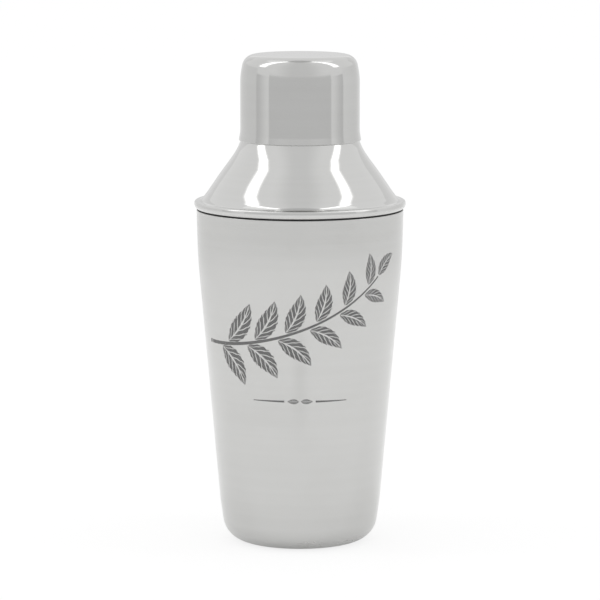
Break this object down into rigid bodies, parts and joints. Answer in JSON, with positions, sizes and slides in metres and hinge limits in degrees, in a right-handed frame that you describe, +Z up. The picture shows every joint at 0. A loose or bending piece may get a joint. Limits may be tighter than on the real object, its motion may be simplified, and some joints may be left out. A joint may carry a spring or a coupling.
{
  "type": "cocktail shaker",
  "caption": "Drawn steel cocktail shaker with a tapered tumbler, a conical shoulder that plugs into its mouth and holds the strainer, a black sealing ring and a rounded cap.",
  "frame": {"origin": "on the axis, at the level of the standing ring under the tumbler", "axes": "+Z up along the axis that every piece is turned about, from the tumbler's foot to the cap; -Y is the side that the picture shows"},
  "size_m": [0.075, 0.075, 0.1741],
  "materials": {
    "satin_steel": "satin-polished stainless steel with a fine brushing round the axis",
    "polished_steel": "bright-polished stainless steel",
    "cap_steel": "polished stainless steel, a little softer than the shoulder",
    "black_silicone": "matt black silicone"
  },
  "bodies": {
    "tumbler_body": {"tumbler": "satin_steel"},
    "strainer_body": {"strainer_top": "polished_steel", "mouth_seal": "black_silicone"},
    "cap_body": {"cap": "cap_steel"}
  },
  "joints": [
    {"name": "strainer_top_lift", "type": "slide", "parent": "tumbler_body", "child": "strainer_body", "axis": [0, 0, 1], "range_m": [0, 0.08]},
    {"name": "cap_lift", "type": "slide", "parent": "strainer_body", "child": "cap_body", "axis": [0, 0, 1], "range_m": [0, 0.05]}
  ]
}
